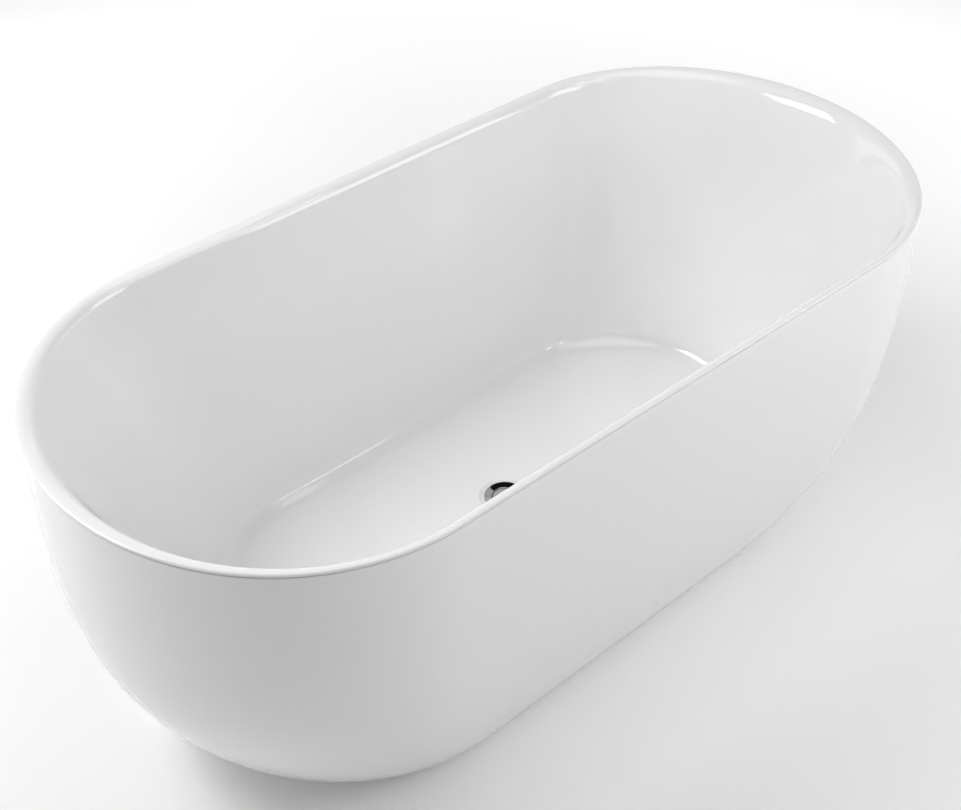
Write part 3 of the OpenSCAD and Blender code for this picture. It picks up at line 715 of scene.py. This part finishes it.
def drill(piece, holes):
    """Cuts the holes out of a piece and keeps their edges sharp."""
    verts, faces = join(holes)
    mesh = bpy.data.meshes.new("drill")
    mesh.from_pydata([tuple(v) for v in verts], [], faces)
    cutter = bpy.data.objects.new("drill", mesh)
    bpy.context.scene.collection.objects.link(cutter)
    modifier = piece.modifiers.new("holes", "BOOLEAN")
    modifier.operation = "DIFFERENCE"
    modifier.solver = "EXACT"
    modifier.object = cutter
    uncut = piece.data
    evaluated = piece.evaluated_get(bpy.context.evaluated_depsgraph_get())
    piece.data = bpy.data.meshes.new_from_object(evaluated)
    piece.data.set_sharp_from_angle(angle=SHARP_ANGLE)
    piece.modifiers.clear()
    bpy.data.objects.remove(cutter)
    bpy.data.meshes.remove(mesh)
    bpy.data.meshes.remove(uncut)


def build_frame(paint):
    """Two rails, four crossbars and the welds between them."""
    centre_z = RAIL_Z + TUBE_W / 2
    rail = tube_part(2 * RAIL_HALF)
    for name, side in (("rail_left", 1), ("rail_right", -1)):
        verts, faces = moved(rail, at_place(0, side * RAIL_Y, centre_z))
        piece = make_object(f"{name}_tube", verts, faces, "bath", "frame_paint", [paint])
        drill(piece, rail_holes(side))
        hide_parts(name)
    inner_y = RAIL_Y - TUBE_W / 2
    across = Matrix.Rotation(math.pi / 2, 4, "Z")
    bar, weld = tube_part(2 * inner_y), weld_part()
    welds = []
    for number, x in enumerate(BAR_X, start=1):
        verts, faces = moved(bar, at_place(x, 0, centre_z) @ across)
        piece = make_object(f"crossbar_{number}_tube", verts, faces, "bath", "frame_paint", [paint])
        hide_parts(f"crossbar_{number}")
        welds += [moved(weld, at_place(x, side * inner_y, centre_z) @ across) for side in (-1, 1)]
    make_object("crossbar_welds", *join(welds), "bath", "frame_paint", [paint])


def build_rail_plugs(plastic):
    """Domed plastic plugs in the rails' ends."""
    head_t, insert, ease = 0.0025, 0.0120, 0.0008
    plug_w = TUBE_W - 2 * TUBE_WALL - 0.0002
    insert_section = rounded_square(plug_w, TUBE_CORNER_R - TUBE_WALL)
    head_section = rounded_square(TUBE_W, TUBE_CORNER_R)
    face_section = rounded_square(TUBE_W - 2 * ease, TUBE_CORNER_R - ease)
    plug = capped([
        section_at(insert_section * 0.94, -insert), section_at(insert_section, -insert + 0.002),
        section_at(insert_section, 0), section_at(head_section, 0),
        section_at(head_section, head_t - ease), section_at(face_section, head_t),
    ])
    plugs = []
    for turn, side in ((0, 1), (0, -1), (math.pi, 1), (math.pi, -1)):
        end = RAIL_HALF if turn == 0 else -RAIL_HALF
        place = at_place(end, side * RAIL_Y, RAIL_Z + TUBE_W / 2)
        plugs.append(moved(plug, place @ Matrix.Rotation(turn, 4, "Z")))
    piece = make_object("tube_plugs", *join(plugs), "bath", "black_plastic", [plastic])
    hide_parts("rail_end_plugs")


def build_screws(zinc):
    """Screws up through the rails into the board, and through both legs of the brackets."""
    block_low, block_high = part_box("skirt_block_3")
    block_top = block_high.z
    block_y = (block_low.y + block_high.y) / 2
    board_screw = screw_part(0.0048, 0.003, BOARD_SCREW_R, TUBE_W + 0.012)
    small_screw = screw_part(0.0038, 0.0024, SMALL_SCREW_R, 0.012)
    long_screw = screw_part(0.0038, 0.0024, SMALL_SCREW_R, 0.026)
    upward = Matrix.Rotation(math.pi, 4, "X")
    board, rail, block = [], [], []
    for side in (-1, 1):
        board += [moved(board_screw, at_place(x, side * RAIL_Y, RAIL_Z) @ upward) for x in BOARD_SCREW_X]
        inward = Matrix.Rotation(-side * math.pi / 2, 4, "X")
        for x in (-BRACKET_X, BRACKET_X):
            for dx in (-SCREW_GAP / 2, SCREW_GAP / 2):
                face_y = side * (RAIL_Y + TUBE_W / 2 + BRACKET_T)
                rail.append(moved(small_screw, at_place(x + dx, face_y, RAIL_Z + TUBE_W / 2) @ inward))
                block.append(moved(long_screw, at_place(x + dx, side * block_y, block_top + BRACKET_T)))
    for name, parts, node in (
        ("screws_board", board, "board_screws"),
        ("screws_rail", rail, "bracket_screws"),
        ("screws_block", block, "block_screws"),
    ):
        piece = make_object(name, *join(parts), "bath", "zinc_steel", [zinc])
        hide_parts(node)


# --- materials ----------------------------------------------------------------


class Finish:
    """A Principled material that is built up from noise in the object's own coordinates."""

    def __init__(self, name, color, roughness, **inputs):
        self.material = bpy.data.materials.new(name)
        self.material.use_nodes = True
        self.tree = self.material.node_tree
        self.shader = self.tree.nodes["Principled BSDF"]
        self.shader.inputs["Base Color"].default_value = (*color, 1)
        self.shader.inputs["Roughness"].default_value = roughness
        for key, value in inputs.items():
            self.shader.inputs[key.replace("_", " ")].default_value = value
        self.place = self.add("ShaderNodeTexCoord").outputs["Object"]
        self.normal = None

    def add(self, kind, **settings):
        node = self.tree.nodes.new(kind)
        for key, value in settings.items():
            setattr(node, key, value)
        return node

    def link(self, source, target):
        self.tree.links.new(source, target)

    def stretched(self, scale):
        """The object's coordinates scaled by a different amount along each axis."""
        mapping = self.add("ShaderNodeMapping")
        mapping.inputs["Scale"].default_value = scale
        self.link(self.place, mapping.inputs["Vector"])
        return mapping.outputs["Vector"]

    def noise(self, scale, detail=3.0, roughness=0.5, stretch=None):
        node = self.add("ShaderNodeTexNoise")
        node.inputs["Scale"].default_value = scale
        node.inputs["Detail"].default_value = detail
        node.inputs["Roughness"].default_value = roughness
        self.link(self.stretched(stretch) if stretch else self.place, node.inputs["Vector"])
        return node.outputs["Fac"]

    def cells(self, scale, feature="F1", stretch=None):
        node = self.add("ShaderNodeTexVoronoi", feature=feature)
        node.inputs["Scale"].default_value = scale
        self.link(self.stretched(stretch) if stretch else self.place, node.inputs["Vector"])
        return node.outputs["Distance"]

    def spread(self, source, low, high, from_low=0.3, from_high=0.7):
        """A texture's output mapped onto low to high."""
        node = self.add("ShaderNodeMapRange")
        node.inputs["From Min"].default_value = from_low
        node.inputs["From Max"].default_value = from_high
        node.inputs["To Min"].default_value = low
        node.inputs["To Max"].default_value = high
        self.link(source, node.inputs["Value"])
        return node.outputs["Result"]

    def color_between(self, source, first, second, low=0.3, high=0.7):
        """Base colour that runs from first to second as the texture goes from low to high."""
        ramp = self.add("ShaderNodeValToRGB")
        ramp.color_ramp.elements[0].position = low
        ramp.color_ramp.elements[0].color = (*first, 1)
        ramp.color_ramp.elements[1].position = high
        ramp.color_ramp.elements[1].color = (*second, 1)
        self.link(source, ramp.inputs["Fac"])
        self.link(ramp.outputs["Color"], self.shader.inputs["Base Color"])

    def roughness_between(self, source, low, high):
        self.link(self.spread(source, low, high), self.shader.inputs["Roughness"])

    def bump(self, source, strength, distance):
        node = self.add("ShaderNodeBump")
        node.inputs["Strength"].default_value = strength
        node.inputs["Distance"].default_value = distance
        self.link(source, node.inputs["Height"])
        if self.normal is not None:
            self.link(self.normal, node.inputs["Normal"])
        self.normal = node.outputs["Normal"]
        self.link(self.normal, self.shader.inputs["Normal"])


def shade(color, factor):
    return tuple(factor * part for part in color)


def acrylic_finish():
    """Glossy white sanitary acrylic with a very faint orange-peel and handling haze."""
    finish = Finish("white_acrylic", (0.862, 0.866, 0.864), 0.04, IOR=1.49)
    finish.color_between(finish.noise(2.2, 2.0), (0.857, 0.862, 0.860), (0.866, 0.869, 0.867))
    finish.roughness_between(finish.noise(9.0, 4.0), 0.03, 0.06)
    finish.bump(finish.noise(55.0, 1.0), 0.03, 0.0003)
    finish.bump(finish.noise(7.0, 1.0), 0.04, 0.0015)
    return finish.material


def fibre_finish():
    """The rough, resin-wet chopped glass fibre behind the acrylic."""
    finish = Finish("glass_fibre_back", (0.62, 0.60, 0.52), 0.5, IOR=1.5)
    strands = finish.noise(160.0, 6.0, 0.75, stretch=(1.0, 0.35, 0.6))
    finish.color_between(strands, (0.52, 0.49, 0.39), (0.74, 0.73, 0.66))
    finish.roughness_between(finish.noise(40.0, 4.0), 0.35, 0.7)
    finish.bump(strands, 0.6, 0.0012)
    finish.bump(finish.cells(90.0), 0.35, 0.001)
    return finish.material


def bond_finish():
    """Pale adhesive, a little duller than the acrylic on both sides of it."""
    finish = Finish("bond_bead", (0.72, 0.725, 0.73), 0.5, IOR=1.42)
    finish.color_between(finish.noise(30.0, 3.0), (0.70, 0.705, 0.71), (0.76, 0.765, 0.77))
    finish.roughness_between(finish.noise(80.0, 3.0), 0.4, 0.6)
    finish.bump(finish.noise(140.0, 2.0), 0.2, 0.0003)
    return finish.material


def board_finish():
    """Resin-bonded chipboard: flakes of mixed size and tone."""
    finish = Finish("chipboard", (0.6, 0.46, 0.3), 0.7, IOR=1.45)
    flakes = finish.cells(210.0, stretch=(1.0, 1.6, 2.4))
    finish.color_between(flakes, (0.42, 0.29, 0.17), (0.70, 0.56, 0.38), 0.05, 0.75)
    finish.roughness_between(finish.noise(60.0, 4.0), 0.55, 0.85)
    finish.bump(flakes, 0.45, 0.0006)
    finish.bump(finish.noise(420.0, 3.0), 0.2, 0.0002)
    return finish.material


def timber_finish():
    """Planed softwood with grain along the bath."""
    finish = Finish("softwood", (0.68, 0.5, 0.3), 0.6, IOR=1.45)
    grain = finish.noise(30.0, 5.0, 0.65, stretch=(0.35, 5.0, 5.0))
    finish.color_between(grain, (0.50, 0.33, 0.17), (0.78, 0.60, 0.40))
    finish.roughness_between(finish.noise(70.0, 3.0), 0.5, 0.75)
    finish.bump(grain, 0.35, 0.0005)
    return finish.material


def paint_finish():
    """Grey powder coat on welded tube."""
    finish = Finish("powder_coat", (0.12, 0.125, 0.13), 0.45, IOR=1.5)
    finish.color_between(finish.noise(14.0, 4.0), (0.105, 0.11, 0.115), (0.135, 0.14, 0.145))
    finish.roughness_between(finish.noise(40.0, 4.0), 0.38, 0.55)
    finish.bump(finish.noise(900.0, 2.0), 0.3, 0.0002)
    return finish.material


def plastic_finish(name, color):
    """Moulded plastic with a fine spark-eroded texture."""
    finish = Finish(name, color, 0.45, IOR=1.5)
    finish.color_between(finish.noise(25.0, 3.0), shade(color, 0.92), shade(color, 1.06))
    finish.roughness_between(finish.noise(60.0, 4.0), 0.38, 0.58)
    finish.bump(finish.noise(1400.0, 2.0), 0.25, 0.0001)
    return finish.material


def rubber_finish(name, color):
    finish = Finish(name, color, 0.75, IOR=1.5)
    finish.color_between(finish.noise(90.0, 4.0), shade(color, 0.85), shade(color, 1.1))
    finish.roughness_between(finish.noise(120.0, 4.0), 0.62, 0.85)
    finish.bump(finish.noise(1100.0, 3.0), 0.3, 0.00015)
    return finish.material


def plated_finish(name, color, low, high, stretch=(1.0, 1.0, 1.0)):
    """Plated or bare metal, whose roughness and brushing follow fine noise."""
    finish = Finish(name, color, (low + high) / 2, Metallic=1.0)
    finish.color_between(finish.noise(35.0, 4.0), shade(color, 0.93), color)
    finish.roughness_between(finish.noise(110.0, 4.0, stretch=stretch), low, high)
    finish.bump(finish.noise(600.0, 3.0, stretch=stretch), 0.08, 0.0001)
    return finish.material


FINISHES = {
    "white_acrylic": acrylic_finish(),
    "glass_fibre": fibre_finish(),
    "bond": bond_finish(),
    "board_wood": board_finish(),
    "timber": timber_finish(),
    "frame_paint": paint_finish(),
    "black_plastic": plastic_finish("black_plastic", (0.022, 0.022, 0.024)),
    "nylon": plastic_finish("nylon", (0.74, 0.74, 0.70)),
    "white_rubber": rubber_finish("white_rubber", (0.62, 0.62, 0.60)),
    "black_rubber": rubber_finish("black_rubber", (0.024, 0.024, 0.024)),
    "zinc_steel": plated_finish("zinc_steel", (0.62, 0.63, 0.64), 0.28, 0.46),
    "stainless": plated_finish("stainless", (0.60, 0.59, 0.57), 0.18, 0.32, (1.0, 1.0, 6.0)),
    "brass": plated_finish("brass", (0.78, 0.57, 0.25), 0.22, 0.40),
    "chrome": plated_finish("chrome", (0.60, 0.61, 0.62), 0.02, 0.05),
}


def finish_cad_nodes():
    """Gives every CAD node that still shows the finish of its slot in the record."""
    slot_of = {part["node"]: part["material_slot"] for part in frame["record"]["subparts"]}
    for name, obj in frame["nodes"].items():
        obj.data.materials.clear()
        obj.data.materials.append(FINISHES[slot_of[name]])


# --- stage ----------------------------------------------------------------------

CENTRE = Vector((0, 0, TOP_Z / 2))

NEAR_GLOW, FAR_GLOW = 0.10, 0.54  # painted glow that the floor emits, weaker near the bath and stronger far from it
NEAR_R, FAR_R = 0.9, 2.2  # between these distances it changes

HORIZON, CEILING = 0.4, 0.01  # light from the sky, low down and high up
HORIZON_Z, CEILING_Z = 0.05, 0.5  # between these heights of a unit vector it changes

CAMERA_AZIMUTH, CAMERA_ELEVATION = -43.616, 39.859
CAMERA_DISTANCE = 2.4028
CAMERA_LENS = 56.86  # on a sensor 36 mm wide
CAMERA_AIM = CENTRE + Vector((-0.0098, 0.0495, 0))

LIGHT_DISTANCE = 2.6
LIGHTS = (  # name, azimuth, elevation, (width, height), watts
    ("key", 230, 47, (1.5, 0.8), 39),
    ("overhead", 0, 75, (2.2, 1.8), 26),
    ("front_right", 38, 22, (1.0, 0.8), 13),
    ("front_strip", 28, 42, (0.9, 0.16), 5),
    ("low_right", 66, 10, (1.8, 0.9), 6.5),
    ("left_edge", 222, 8, (1.4, 0.7), 8),
    ("back", 180, 25, (1.8, 1.0), 6),
    ("right_back", 120, 15, (1.8, 1.0), 3.5),
    ("grey_card", 112, 41, (1.2, 0.8), 1.5),  # dim, for the waste's chrome to reflect
)


def build_floor():
    """A wide, pale studio floor with a painted glow: it emits light, less near the bath (painted shade
    there) and more away from it.
    """
    finish = Finish("studio_floor", (0.9, 0.9, 0.9), 0.6)
    finish.roughness_between(finish.noise(3.0, 3.0), 0.55, 0.7)
    distance = finish.add("ShaderNodeVectorMath", operation="LENGTH")
    finish.link(finish.place, distance.inputs["Vector"])
    # painted glow: emission that lights the bath, weaker close to it as painted shade
    glow = finish.spread(distance.outputs["Value"], NEAR_GLOW, FAR_GLOW, NEAR_R, FAR_R)
    finish.shader.inputs["Emission Color"].default_value = (1, 1, 1, 1)
    finish.link(glow, finish.shader.inputs["Emission Strength"])
    radius, thickness, sides = 14.0, 0.004, 96
    verts, faces = capped([circle(radius, -thickness, sides), circle(radius, 0.0, sides)])
    mesh = bpy.data.meshes.new("studio_floor")
    mesh.from_pydata([tuple(v) for v in verts], [], faces)
    mesh.materials.append(finish.material)
    floor = bpy.data.objects.new("studio_floor", mesh)
    bpy.context.scene.collection.objects.link(floor)


def build_world():
    """A pale horizon under a dark ceiling, as in a studio."""
    world = bpy.data.worlds.new("studio")
    world.use_nodes = True
    nodes, links = world.node_tree.nodes, world.node_tree.links
    background = nodes["Background"]
    background.inputs["Color"].default_value = (1, 1, 1, 1)
    heading = nodes.new("ShaderNodeTexCoord")
    height = nodes.new("ShaderNodeSeparateXYZ")
    links.new(heading.outputs["Generated"], height.inputs["Vector"])
    fall = nodes.new("ShaderNodeMapRange")
    fall.interpolation_type = "SMOOTHSTEP"
    fall.inputs["From Min"].default_value = HORIZON_Z
    fall.inputs["From Max"].default_value = CEILING_Z
    fall.inputs["To Min"].default_value = HORIZON
    fall.inputs["To Max"].default_value = CEILING
    links.new(height.outputs["Z"], fall.inputs["Value"])
    links.new(fall.outputs["Result"], background.inputs["Strength"])
    bpy.context.scene.world = world


def direction(azimuth, elevation):
    """Unit vector to a point at this azimuth (0 is -Y, 90 is +X) and elevation."""
    azimuth, elevation = math.radians(azimuth), math.radians(elevation)
    flat = math.cos(elevation)
    return Vector((flat * math.sin(azimuth), -flat * math.cos(azimuth), math.sin(elevation)))


def look_at(obj, place, aim):
    """Puts a light or camera at a place, looking at the aim with its top up."""
    obj.location = place
    obj.rotation_euler = (place - aim).to_track_quat("Z", "Y").to_euler()
    bpy.context.scene.collection.objects.link(obj)


def softbox(name, azimuth, elevation, size, power):
    """A rectangular studio light that faces the bath and is itself out of the picture."""
    light = bpy.data.lights.new(name, "AREA")
    light.shape = "RECTANGLE"
    light.size, light.size_y = size
    light.energy = power
    obj = bpy.data.objects.new(name, light)
    obj.visible_camera = False
    look_at(obj, CENTRE + direction(azimuth, elevation) * LIGHT_DISTANCE, CENTRE)


def build_camera():
    """The photograph's viewpoint: in front of the left end, looking down into the bath."""
    camera = bpy.data.cameras.new("camera")
    camera.lens = CAMERA_LENS
    camera.sensor_width = 36.0
    obj = bpy.data.objects.new("camera", camera)
    place = CENTRE + direction(CAMERA_AZIMUTH, CAMERA_ELEVATION) * CAMERA_DISTANCE
    look_at(obj, place, CAMERA_AIM)
    bpy.context.scene.camera = obj


# --- build ----------------------------------------------------------------------

finish_cad_nodes()
build_basin(FINISHES["white_acrylic"], FINISHES["glass_fibre"])
build_skirt(FINISHES["white_acrylic"], FINISHES["glass_fibre"])
build_bond(FINISHES["bond"])
build_waste(FINISHES["chrome"])
build_cap(FINISHES["chrome"])
build_backnut(FINISHES["brass"])
build_studs(FINISHES["zinc_steel"])
build_pads(FINISHES["black_plastic"])
build_stud_nuts(FINISHES["frame_paint"], FINISHES["zinc_steel"])
build_frame(FINISHES["frame_paint"])
build_rail_plugs(FINISHES["black_plastic"])
build_screws(FINISHES["zinc_steel"])

build_floor()
build_world()
for light in LIGHTS:
    softbox(*light)
build_camera()
bpy.context.scene.view_settings.view_transform = "Standard"
